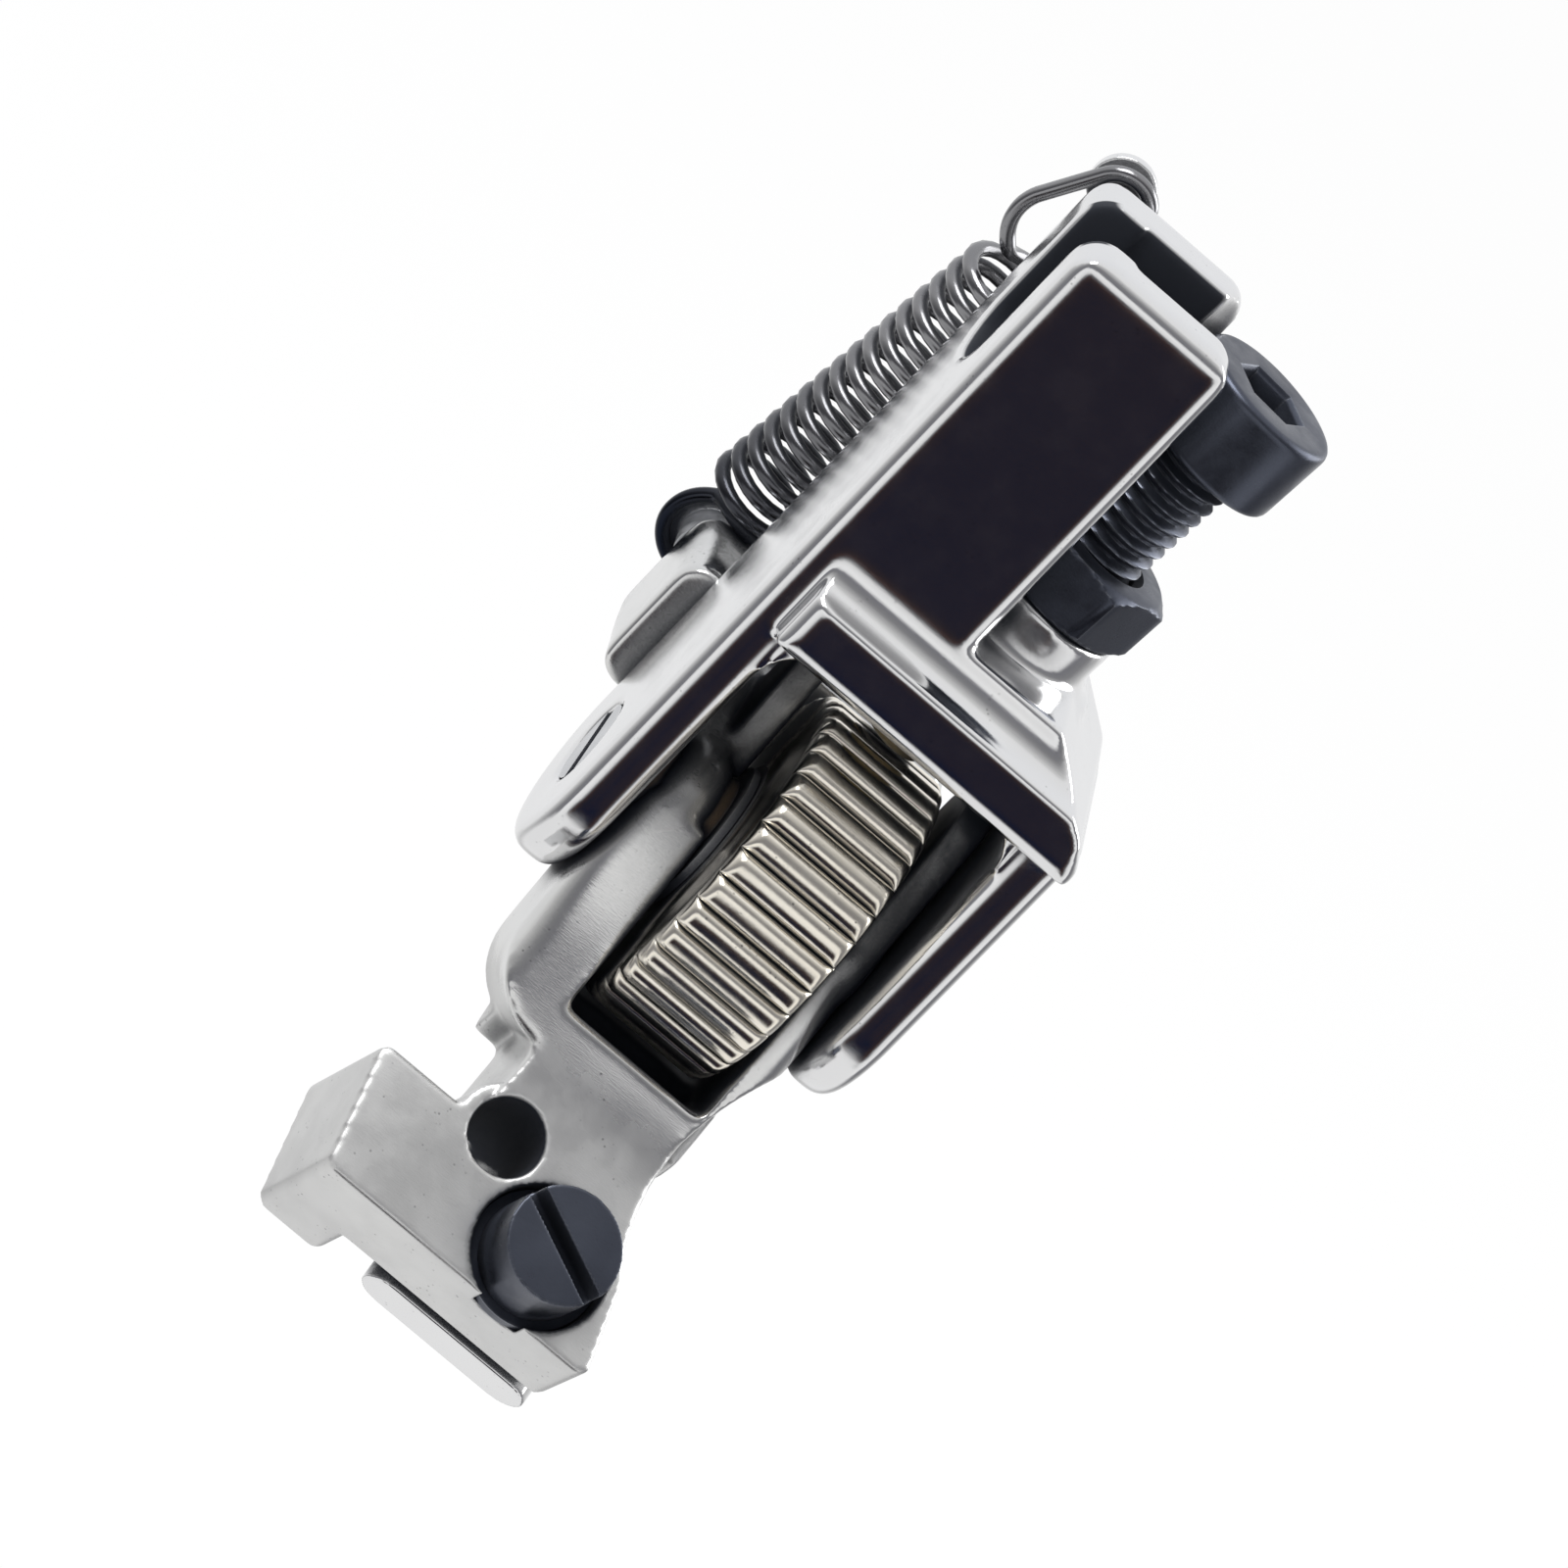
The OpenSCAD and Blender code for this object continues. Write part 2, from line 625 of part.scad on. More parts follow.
module spring_tube() {
    count = len(wire_path);
    points = [for (i = [0:count - 1]) each ring(i)];
    skin = [for (i = [0:count - 2]) for (k = [0:sides - 1])
        let (a = i * sides + k, b = i * sides + (k + 1) % sides)
        each [[a, b, a + sides], [b, b + sides, a + sides]]];
    start_cap = [for (k = [1:sides - 2]) [0, k + 1, k]];
    last = (count - 1) * sides;
    end_cap = [for (k = [1:sides - 2]) [last, last + k, last + k + 1]];
    polyhedron(points, concat(skin, start_cap, end_cap));
}

// least distance between stretches of the wire that aren't neighbours, less its thickness
least_gap = min([for (i = [0:len(wire_path) - 1]) for (j = [i + 6:1:len(wire_path) - 1])
    norm(wire_path[i] - wire_path[j])]) - wire_d;

module tension_spring() color("dimgray") on_bar() translate(loop_low) rotate([lean_x, lean_y, 0]) {
    echo(least_gap = least_gap, pitch = pitch);
    spring_tube();
}

// ---- adjuster ----

module adjusting_screw() color("midnightblue") on_bar() on_screw() difference() {
    union() {
        translate([0, 0, head_up - thread_l]) cylinder(h = thread_l + eps, r = thread_d / 2);
        translate([0, 0, head_up]) rotate_extrude()
            polygon([[0, 0], [head_d / 2 - 0.2, 0], [head_d / 2, 0.2], [head_d / 2, thread_d - 0.4],
                [head_d / 2 - 0.4, thread_d], [0, thread_d]]);
    }
    translate([0, 0, head_up + thread_d - 2]) cylinder(h = 3, r = socket_af / sqrt(3), $fn = 6);
}

module lock_nut() color("midnightblue") on_bar() on_screw() difference() {
    intersection() {
        rotate(-10) cylinder(h = nut_h, r = nut_corner, $fn = 6);
        // chamfers the corners at both faces
        rotate_extrude() polygon([[0, 0], [nut_af / 2 - 0.1, 0], [nut_corner + 0.3, 0.5],
            [nut_corner + 0.3, nut_h - 0.5], [nut_af / 2 - 0.1, nut_h], [0, nut_h]]);
    }
    translate([0, 0, -1]) cylinder(h = nut_h + 2, r = thread_d / 2 + fit);
}

module drag_plug() color("goldenrod") on_bar() on_screw()
    translate([0, 0, head_up - thread_l - plug_l - 0.05]) cylinder(h = plug_l, r = plug_r);

shank_yoke();
axle_screw();
feed_wheel();
clutch_shell();
clutch_cage();
clutch_needles();
thrust_washer_left();
thrust_washer_right();
fork_lever();
lever_bush_left();
lever_bush_right();
sole_plate();
toe_screw();
toe_washer();
spring_post();
spring_anchor();
tension_spring();
adjusting_screw();
lock_nut();
drag_plug();
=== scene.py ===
import json
import math

import bmesh
import bpy
from mathutils import Matrix, Vector


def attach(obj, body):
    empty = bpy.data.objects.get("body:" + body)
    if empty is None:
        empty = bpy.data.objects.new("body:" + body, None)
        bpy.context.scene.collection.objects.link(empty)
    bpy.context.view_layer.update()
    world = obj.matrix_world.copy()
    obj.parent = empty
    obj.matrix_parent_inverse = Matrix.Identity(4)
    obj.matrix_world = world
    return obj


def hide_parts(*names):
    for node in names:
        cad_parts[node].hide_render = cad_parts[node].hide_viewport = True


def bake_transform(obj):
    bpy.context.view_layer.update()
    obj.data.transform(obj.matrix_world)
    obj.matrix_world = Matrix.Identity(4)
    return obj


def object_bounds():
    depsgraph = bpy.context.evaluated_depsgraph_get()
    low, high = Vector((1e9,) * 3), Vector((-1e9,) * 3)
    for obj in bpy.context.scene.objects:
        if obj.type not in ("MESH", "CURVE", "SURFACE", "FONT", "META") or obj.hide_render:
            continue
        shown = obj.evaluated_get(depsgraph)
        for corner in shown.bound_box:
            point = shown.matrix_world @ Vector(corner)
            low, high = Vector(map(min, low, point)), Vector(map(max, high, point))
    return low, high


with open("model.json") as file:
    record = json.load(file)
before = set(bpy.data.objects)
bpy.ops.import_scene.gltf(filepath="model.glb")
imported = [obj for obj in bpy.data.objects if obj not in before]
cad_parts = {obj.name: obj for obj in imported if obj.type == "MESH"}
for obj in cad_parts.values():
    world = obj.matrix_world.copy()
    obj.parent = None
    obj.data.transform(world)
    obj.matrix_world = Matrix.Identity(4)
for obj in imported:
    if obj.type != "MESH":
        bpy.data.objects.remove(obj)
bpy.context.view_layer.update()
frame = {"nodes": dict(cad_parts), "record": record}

# ---- places: millimetres round the axle, moved to the record's frame in metres ----

MM = 0.001
WALL_T, CHANNEL_Y, CLAMP_Z = 2.5, 0.2, 26.2
AXLE_TO_BAR = Matrix.Translation((-WALL_T, CHANNEL_Y, -CLAMP_Z))
ON_BAR = Matrix.Scale(MM, 4) @ AXLE_TO_BAR
ALONG_AXLE = ON_BAR @ Matrix.Rotation(math.radians(90), 4, "Y")
SCREW_FOOT, SCREW_LEAN = (10.1, 1.3, 18.1), math.radians(4)
ON_SCREW = ON_BAR @ Matrix.Translation(SCREW_FOOT) @ Matrix.Rotation(SCREW_LEAN, 4, "Y")
TOE_LEAN, TOE_UP = math.radians(45), 15.7

# Needle hole, in mm in the record's frame
HOLE_POINT = Vector((5.0, -7.12, -40.94))
HOLE_AXIS = Vector((0.0, -1.0, 1.0)).normalized()
HOLE_R = 1.7

# ---- shader helpers ----


def fill(tree, node, inputs):
    """Sets a node's inputs, each to a value or another socket.
    A key is the socket's name with _ for a space, or i and its number."""
    for key, value in inputs.items():
        numbered = key[0] == "i" and key[1:].isdigit()
        socket = node.inputs[int(key[1:]) if numbered else key.replace("_", " ")]
        if isinstance(value, bpy.types.NodeSocket):
            tree.links.new(value, socket)
        else:
            socket.default_value = value


def put(tree, kind, settings=(), **inputs):
    """Adds a shader node with its settings and inputs."""
    node = tree.nodes.new("ShaderNode" + kind)
    for key, value in dict(settings).items():
        setattr(node, key, value)
    fill(tree, node, inputs)
    return node


def placed(tree, group_tree, **inputs):
    """Adds a node group with its inputs and gives its outputs."""
    node = tree.nodes.new("ShaderNodeGroup")
    node.node_tree = group_tree
    fill(tree, node, inputs)
    return node.outputs


def maths(tree, operation, a, b=0.0, clamp=False):
    return put(tree, "Math", {"operation": operation, "use_clamp": clamp}, i0=a, i1=b).outputs[0]


def vectors(tree, operation, a, b, output=0):
    return put(tree, "VectorMath", {"operation": operation}, i0=a, i1=b).outputs[output]


def noise(tree, vector, **inputs):
    return put(tree, "TexNoise", Vector=vector, **inputs).outputs[0]


def remap(tree, value, low, high, to_low=0.0, to_high=1.0):
    """Eases from to_low to to_high as the value goes from low to high."""
    return put(tree, "MapRange", {"interpolation_type": "SMOOTHSTEP"}, Value=value,
               From_Min=low, From_Max=high, To_Min=to_low, To_Max=to_high).outputs[0]


def mixed(tree, factor, a, b):
    return put(tree, "Mix", {"data_type": "RGBA"}, i0=factor, i6=a, i7=b).outputs[2]


def group(name, inputs, outputs):
    """An empty node group: inputs are (name, type, default), outputs are (name, type)."""
    tree = bpy.data.node_groups.new(name, "ShaderNodeTree")
    for label, kind, default in inputs:
        socket = tree.interface.new_socket(label, in_out="INPUT",
                                           socket_type="NodeSocket" + kind)
        if default is not None:
            socket.default_value = default
    for label, kind in outputs:
        tree.interface.new_socket(label, in_out="OUTPUT", socket_type="NodeSocket" + kind)
    given = tree.nodes.new("NodeGroupInput").outputs
    out = tree.nodes.new("NodeGroupOutput").inputs
    return tree, given, out


# ---- effects that the finishes share ----


def make_polish_marks():
    """Fine lines, haze and tone left by a buffing wheel."""
    tree, given, out = group(
        "polish_marks",
        [("Vector", "Vector", None), ("Scale", "Float", 1.0), ("Stretch", "Float", 10.0)],
        [("Lines", "Float"), ("Haze", "Float"), ("Tone", "Float")])
    drawn_out = maths(tree, "MULTIPLY", given["Scale"], given["Stretch"])
    wide = put(tree, "CombineXYZ", X=given["Scale"], Y=given["Scale"], Z=drawn_out).outputs[0]
    across = vectors(tree, "MULTIPLY", given["Vector"], wide)
    lines = noise(tree, across, Scale=2.2, Detail=5.0, Roughness=0.65)
    haze = noise(tree, given["Vector"], Scale=0.55, Detail=3.0, Roughness=0.6)
    tone = noise(tree, given["Vector"], Scale=0.16, Detail=2.0, Roughness=0.5, Distortion=0.4)
    tree.links.new(lines, out["Lines"])
    tree.links.new(remap(tree, haze, 0.35, 0.7), out["Haze"])
    tree.links.new(tone, out["Tone"])
    return tree


def make_edge_highlight():
    """Painted highlight along the edges, where a rounded edge would catch the light."""
    tree, given, out = group(
        "painted_edge_highlight",
        [("Width", "Float", 0.0002), ("Gain", "Float", 6.0)],
        [("Mask", "Float")])
    soft = put(tree, "Bevel", {"samples": 6}, Radius=given["Width"]).outputs[0]
    flat = put(tree, "NewGeometry").outputs["Normal"]
    same = vectors(tree, "DOT_PRODUCT", soft, flat, "Value")
    away = maths(tree, "SUBTRACT", 1.0, same)
    tree.links.new(maths(tree, "MULTIPLY", away, given["Gain"], clamp=True), out["Mask"])
    return tree


def make_oil_specks():
    """Small pits with dark oil in them, sparse and uneven."""
    tree, given, out = group(
        "oil_specks",
        [("Vector", "Vector", None), ("Scale", "Float", 3.0), ("Amount", "Float", 0.3)],
        [("Mask", "Float"), ("Depth", "Float")])
    cells = put(tree, "TexVoronoi", {"feature": "F1"}, Vector=given["Vector"],
                Scale=given["Scale"], Randomness=1.0).outputs["Distance"]
    area = noise(tree, given["Vector"], Scale=0.7, Detail=2.0)
    dots = remap(tree, cells, 0.22, 0.08)
    some = remap(tree, area, 0.5, 0.68)
    mask = maths(tree, "MULTIPLY", maths(tree, "MULTIPLY", dots, some), given["Amount"])
    tree.links.new(mask, out["Mask"])
    tree.links.new(maths(tree, "MULTIPLY", mask, -1.0), out["Depth"])
    return tree


def make_recess_shade():
    """How deep a place lies in a recess: 0 in the open, 1 where hardly any light gets in. It masks the
    painted shade in recesses.
    """
    tree, given, out = group(
        "painted_recess_shade",
        [("Reach", "Float", 0.003), ("Open", "Float", 0.62), ("Shut", "Float", 0.2)],
        [("Mask", "Float")])
    seen = put(tree, "AmbientOcclusion", {"samples": 8}, Distance=given["Reach"]).outputs["AO"]
    tree.links.new(remap(tree, seen, given["Open"], given["Shut"]), out["Mask"])
    return tree


def make_bore_shade():
    """Painted shade on the wall of a bore: 1 within Radius of the line along Axis, all in mm."""
    tree, given, out = group(
        "painted_bore_shade",
        [("Vector", "Vector", None), ("Point", "Vector", None), ("Axis", "Vector", None),
         ("Radius", "Float", 1.0)],
        [("Mask", "Float")])
    arm = vectors(tree, "SUBTRACT", given["Vector"], given["Point"])
    along = vectors(tree, "PROJECT", arm, given["Axis"])
    off = vectors(tree, "DISTANCE", arm, along, "Value")
    inside = maths(tree, "SUBTRACT", given["Radius"], off)
    tree.links.new(remap(tree, inside, 0.0, 0.12), out["Mask"])
    return tree


def make_box_shade():
    """Painted shade on the walls of a box-shaped channel: 1 inside Middle +- Half, in mm."""
    tree, given, out = group(
        "box_shade",
        [("Vector", "Vector", None), ("Middle", "Vector", None), ("Half", "Vector", None)],
        [("Mask", "Float")])
    arm = vectors(tree, "SUBTRACT", given["Vector"], given["Middle"])
    size = put(tree, "VectorMath", {"operation": "ABSOLUTE"}, i0=arm).outputs[0]
    past = vectors(tree, "SUBTRACT", size, given["Half"])
    parts = put(tree, "SeparateXYZ", Vector=past).outputs
    most = maths(tree, "MAXIMUM", maths(tree, "MAXIMUM", parts["X"], parts["Y"]), parts["Z"])
    tree.links.new(remap(tree, most, 0.1, -0.05), out["Mask"])
    return tree


POLISH_MARKS = make_polish_marks()
EDGE_HIGHLIGHT = make_edge_highlight()
OIL_SPECKS = make_oil_specks()
RECESS_SHADE = make_recess_shade()
BORE_SHADE = make_bore_shade()
BOX_SHADE = make_box_shade()

# ---- finishes ----

# Near-black colour of the painted shade
SHADE_COLOUR = (0.010, 0.013, 0.022, 1)
OIL = (0.03, 0.03, 0.035, 1)
# Colour of the painted highlight along edges
BRIGHT_EDGE = (0.9, 0.9, 0.9, 1)
EDGE_WIDTH = 0.00018
SPECK_SCALE = 3.0
LINES_IN_ROUGHNESS = 0.6
# Roughness that the painted shade adds
SHADE_ROUGHNESS = 0.6
MARK_DEPTH = 0.00005
WAVE_SCALE, WAVE_DEPTH = 0.12, 0.0012


def metal(name, light, dark, rough, rough_haze, lines_bump=0.02, stretch=10.0, scale=1.0,
          specks=0.3, edge=BRIGHT_EDGE, edge_share=0.5, metallic=1.0, specular=0.5,
          gloss_above=None, reach=0.003, shut=(0.62, 0.2), waves=0.0, bore=None,
          channel=None, dark_below=None):
    """A worked metal with a light and a dark tone, a roughness, and a share that haze adds.
    lines_bump, stretch, scale: depth, length and fineness of the polishing lines
    edge, edge_share: colour of the painted highlight along the edges, and how much of it shows
    gloss_above: (low Z, high Z, roughness above) for a piece that is polished only higher up
    reach, shut: how near a recess's walls are, and the open shares where the painted shade starts and
    ends
    waves: how uneven the polish leaves a face
    bore: (point, axis, radius) of a hole whose wall gets painted shade
    channel: (middle, half size) of a channel whose walls get painted shade
    dark_below: (low Z, high Z) for a piece with painted shade lower down"""
    material = bpy.data.materials.new(name)
    material.use_nodes = True
    tree = material.node_tree
    shader = tree.nodes["Principled BSDF"]
    place = put(tree, "TexCoord").outputs["Object"]
    in_mm = put(tree, "VectorMath", {"operation": "SCALE"}, i0=place, Scale=1 / MM).outputs[0]
    height = put(tree, "SeparateXYZ", Vector=in_mm).outputs["Z"]
    marks = placed(tree, POLISH_MARKS, Vector=in_mm, Scale=scale, Stretch=stretch)
    oil = placed(tree, OIL_SPECKS, Vector=in_mm, Scale=SPECK_SCALE, Amount=specks)
    rim = placed(tree, EDGE_HIGHLIGHT, Width=EDGE_WIDTH)
    # Painted shade: places deep in recesses get darkened
    shade_mask = placed(tree, RECESS_SHADE, Reach=reach, Open=shut[0], Shut=shut[1])["Mask"]
    if bore:
        point, axis, radius = bore
        # Painted shade on the bore's wall
        hole_wall_shade = placed(tree, BORE_SHADE, Vector=in_mm, Point=point, Axis=axis, Radius=radius)
        shade_mask = maths(tree, "MAXIMUM", shade_mask, hole_wall_shade["Mask"])
    if channel:
        middle, half = channel
        # Painted shade on the channel's walls
        walls = placed(tree, BOX_SHADE, Vector=in_mm, Middle=middle, Half=half)
        shade_mask = maths(tree, "MAXIMUM", shade_mask, walls["Mask"])

    tone = mixed(tree, marks["Tone"], (*dark, 1), (*light, 1))
    # Painted highlight: the edges are mixed toward a lighter colour
    highlighted = mixed(tree, maths(tree, "MULTIPLY", rim["Mask"], edge_share), tone, edge)
    soiled = mixed(tree, oil["Mask"], highlighted, OIL)
    # Painted shade: the colour goes near-black where shade is painted
    colour = mixed(tree, shade_mask, soiled, SHADE_COLOUR)
    # Painted shade, darker towards the bottom
    if dark_below:
        low, high = dark_below
        colour = mixed(tree, remap(tree, height, low, high), SHADE_COLOUR, colour)
    tree.links.new(colour, shader.inputs["Base Color"])

    # Where shade is painted, the metal also loses its metallic look and gets rougher
    clear = maths(tree, "SUBTRACT", 1.0, shade_mask)
    tree.links.new(maths(tree, "MULTIPLY", clear, metallic), shader.inputs["Metallic"])
    shader.inputs["Specular IOR Level"].default_value = specular

    base = rough
    if gloss_above:
        low, high, rough_above = gloss_above
        base = remap(tree, height, low, high, rough, rough_above)
    streaked = maths(tree, "MULTIPLY", marks["Haze"], rough_haze)
    lined = maths(tree, "MULTIPLY", marks["Lines"], rough_haze * LINES_IN_ROUGHNESS)
    total = maths(tree, "ADD", maths(tree, "ADD", base, streaked), lined)
    shade_roughness = maths(tree, "MULTIPLY", shade_mask, SHADE_ROUGHNESS)
    tree.links.new(maths(tree, "ADD", total, shade_roughness), shader.inputs["Roughness"])

    relief = maths(tree, "ADD", marks["Lines"], oil["Depth"])
    bump = put(tree, "Bump", Strength=lines_bump, Distance=MARK_DEPTH, Height=relief).outputs[0]
    if waves:
        swell = noise(tree, in_mm, Scale=WAVE_SCALE, Detail=0.0)
        bump = put(tree, "Bump", Strength=waves, Distance=WAVE_DEPTH, Height=swell,
                   Normal=bump).outputs[0]
    tree.links.new(bump, shader.inputs["Normal"])
    return material


# The needle hole, a little wider, whose wall gets painted shade
SHADE_MARGIN = 0.12
NEEDLE_HOLE = (tuple(HOLE_POINT), tuple(HOLE_AXIS), HOLE_R + SHADE_MARGIN)
# The bar's channel, whose walls get painted shade
BAR_CHANNEL = ((1.70, 0.0, -0.4), (4.05, 2.7, 6.55))
TOE_TOP, ARMS_FROM = -37.0, -33.0

MIRROR_POLISH = metal(
    "mirror_polish", (0.84, 0.84, 0.84), (0.74, 0.74, 0.75), 0.06, 0.06, lines_bump=0.05,
    reach=0.0065, shut=(0.70, 0.40), channel=BAR_CHANNEL)
HAND_GROUND = metal(
    "hand_ground", (0.78, 0.78, 0.77), (0.62, 0.62, 0.62), 0.34, 0.10, lines_bump=0.12,
    scale=1.6, stretch=6.0, specks=0.5, edge_share=0.3, gloss_above=(TOE_TOP, ARMS_FROM, 0.04),
    reach=0.005, shut=(0.75, 0.42), waves=0.8, bore=NEEDLE_HOLE)
NICKEL_FLUTES = metal(
    "nickel_flutes", (0.96, 0.92, 0.83), (0.86, 0.80, 0.69), 0.13, 0.08, lines_bump=0.10,
    scale=2.0, stretch=1.0, specks=0.7, reach=0.0016, shut=(0.60, 0.30))
GROUND_STEEL = metal(
    "ground_steel", (0.62, 0.63, 0.65), (0.50, 0.51, 0.53), 0.22, 0.10, lines_bump=0.08,
    shut=(0.85, 0.45))
BLACK_OXIDE = metal(
    "black_oxide", (0.095, 0.105, 0.135), (0.045, 0.050, 0.068), 0.24, 0.14, lines_bump=0.10,
    scale=2.0, stretch=2.0, edge=(0.34, 0.36, 0.40, 1), edge_share=0.6, metallic=0.9,
    specular=0.4, shut=(0.75, 0.4))
# The spring gets painted shade towards its lower loop
SPRING_WIRE = metal(
    "spring_wire", (0.34, 0.34, 0.35), (0.18, 0.18, 0.19), 0.12, 0.08, lines_bump=0.06,
    scale=3.0, edge_share=0.0, reach=0.0014, shut=(0.85, 0.45), dark_below=(-22.5, -6.0))
BRONZE = metal(
    "sintered_bronze", (0.50, 0.35, 0.20), (0.36, 0.25, 0.14), 0.34, 0.12, specks=0.6,
    shut=(0.9, 0.4))
BRASS = metal(
    "turned_brass", (0.78, 0.62, 0.30), (0.62, 0.47, 0.20), 0.24, 0.10, shut=(0.95, 0.55))

FINISHES = {
    "shank_yoke": MIRROR_POLISH,
    "spring_anchor": MIRROR_POLISH,
    "sole_plate": MIRROR_POLISH,
    "fork_lever": HAND_GROUND,
    "feed_wheel": NICKEL_FLUTES,
    "axle_screw": GROUND_STEEL,
    "clutch_shell": GROUND_STEEL,
    "clutch_needles": GROUND_STEEL,
    "thrust_washer_left": GROUND_STEEL,
    "thrust_washer_right": GROUND_STEEL,
    "spring_post": GROUND_STEEL,
    "toe_washer": BLACK_OXIDE,
    "toe_screw": BLACK_OXIDE,
    "adjusting_screw": BLACK_OXIDE,
    "lock_nut": BLACK_OXIDE,
    "tension_spring": SPRING_WIRE,
    "clutch_cage": BRONZE,
    "lever_bush_left": BRONZE,
    "lever_bush_right": BRONZE,
    "drag_plug": BRASS,
}
BODIES = {node: body for body, nodes in frame["record"]["behaviour"]["bodies"].items()
          for node in nodes}

for node, finish in FINISHES.items():
    piece = frame["nodes"][node]
    piece.data.materials.clear()
    piece.data.materials.append(finish)

# ---- mesh helpers ----


def piece_from(name, mesh, node, blended=False):
    """A piece that stands for a CAD node, with its finish; it rides the node's body unless blended."""
    piece = bpy.data.objects.new(name, mesh)
    bpy.context.scene.collection.objects.link(piece)
    mesh.materials.clear()
    mesh.materials.append(FINISHES[node])
    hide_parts(node)
    if not blended:
        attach(piece, BODIES[node])
    return piece


def with_forms(mesh, forms):
    """Adds the convex hull of each form's points to a mesh."""
    bm = bmesh.new()
    bm.from_mesh(mesh)
    for points in forms:
        corners = [bm.verts.new(point) for point in points]
        bmesh.ops.convex_hull(bm, input=corners)
    bm.to_mesh(mesh)
    bm.free()


def evaluated_mesh(piece):
    depsgraph = bpy.context.evaluated_depsgraph_get()
    return bpy.data.meshes.new_from_object(piece.evaluated_get(depsgraph))


def softened(name, node, voxel, rounds, weight=None, added=()):
    """Copies a CAD node, remeshes it finely and rubs its edges round.
    weight(point in mm) slows the rubbing, and added are convex forms to fuse on, in mm."""
    mesh = frame["nodes"][node].data.copy()
    mesh.transform(Matrix.Scale(1 / MM, 4))
    with_forms(mesh, added)
    work = bpy.data.objects.new("work", mesh)
    bpy.context.scene.collection.objects.link(work)
    remesh = work.modifiers.new("remesh", "REMESH")
    remesh.mode = "VOXEL"
    remesh.voxel_size = voxel
    fine = evaluated_mesh(work)
    work.modifiers.clear()
    work.data = fine
    rub = work.modifiers.new("rub", "SMOOTH")
    rub.factor = 0.5
    rub.iterations = rounds
    if weight:
        soft = work.vertex_groups.new(name="soft")
        for v in fine.vertices:
            soft.add([v.index], weight(v.co), "REPLACE")
        rub.vertex_group = "soft"
    made = evaluated_mesh(work)
    bpy.data.objects.remove(work)
    made.transform(Matrix.Scale(MM, 4))
    made.shade_smooth()
    return piece_from(name, made, node)


def rounded(profile, radius, steps):
    """Replaces the inner corners of a (height, radius) outline by arcs."""
    made = [profile[0]]
    for before, corner, after in zip(profile, profile[1:], profile[2:]):
        b, c, a = Vector(before), Vector(corner), Vector(after)
        reach = min(radius, (b - c).length * 0.45, (a - c).length * 0.45)
        start, end = c + (b - c).normalized() * reach, c + (a - c).normalized() * reach
        for i in range(steps + 1):
            t = i / steps
            made.append(tuple(start * (1 - t) ** 2 + c * 2 * t * (1 - t) + end * t ** 2))
    made.append(profile[-1])
    return made


def skinned(name, loops, sharp, bored=False):
    """A mesh through loops of points. A bored one has no end caps: its last loop meets its first."""
    bm = bmesh.new()
    rings = [[bm.verts.new(point) for point in loop] for loop in loops]
    sides = len(rings[0])
    for low, high in zip(rings, rings[1:] + rings[:1] if bored else rings[1:]):
        for k in range(sides):
            bm.faces.new((low[k], low[(k + 1) % sides], high[(k + 1) % sides], high[k]))
    if not bored:
        bm.faces.new(reversed(rings[0]))
        bm.faces.new(rings[-1])
    bmesh.ops.recalc_face_normals(bm, faces=bm.faces)
    mesh = bpy.data.meshes.new(name)
    bm.to_mesh(mesh)
    bm.free()
    mesh.shade_smooth()
    mesh.set_sharp_from_angle(angle=math.radians(sharp))
    return mesh


def turned(name, node, rings, segments, place, sharp, bored=False):
    """A piece turned about its own axis.
    rings are (height, radius), and a radius may be a function of the angle."""
    loops = []
    for height, radius in rings:
        loop = []
        for k in range(segments):
            angle = 2 * math.pi * k / segments
            r = radius(angle) if callable(radius) else radius
            loop.append(place @ Vector((r * math.cos(angle), r * math.sin(angle), height)))
        loops.append(loop)
    return piece_from(name, skinned(name, loops, sharp, bored), node)


# ---- yoke, fork lever and small turned pieces, with their edges rubbed round ----

TAIL_Y = 5.5
RUB_ARMS, RUB_TOE, RUB_HOLE_RIM = 0.7, 0.16, 0.05
RUB_GAP = 0.5

HORN_X = (13.55, 15.1)
HORN_ENDS = ((0.0, 0.0, 3.2), (1.3, 6.9, 2.4))
HORN_STEPS = 24

LIP_T, LIP_HALF_W, LIP_DEPTHS = 1.4, 1.5, (8.0, 10.2)
LIP_RIGHT, LIP_UP = 0.42, 0.90


def lever_weight(point):
    """The toe and the needle hole stay crisp, the arms are rubbed round and the tail most."""
    if point.y > TAIL_Y:
        return 1.0
    down = ((point.y - CHANNEL_Y) * math.sin(TOE_LEAN)
            + (point.z + CLAMP_Z) * math.cos(TOE_LEAN))
    arm = point - HOLE_POINT
    off_hole = (arm - arm.project(HOLE_AXIS)).length - HOLE_R
    above_toe = max(RUB_TOE, (down + TOE_UP + RUB_GAP) / 4.0)
    beside_hole = max(RUB_HOLE_RIM, (off_hole - RUB_GAP) / 2.0)
    return min(RUB_ARMS, above_toe, beside_hole)


def right_horn():
    """The right arm's upper end, which reaches past the axle beside the wheel."""
    points = []
    for x in HORN_X:
        for y, z, radius in HORN_ENDS:
            for step in range(HORN_STEPS):
                turn = 2 * math.pi * step / HORN_STEPS
                across, up = radius * math.cos(turn), radius * math.sin(turn)
                points.append(AXLE_TO_BAR @ Vector((x, y + across, z + up)))
    return points


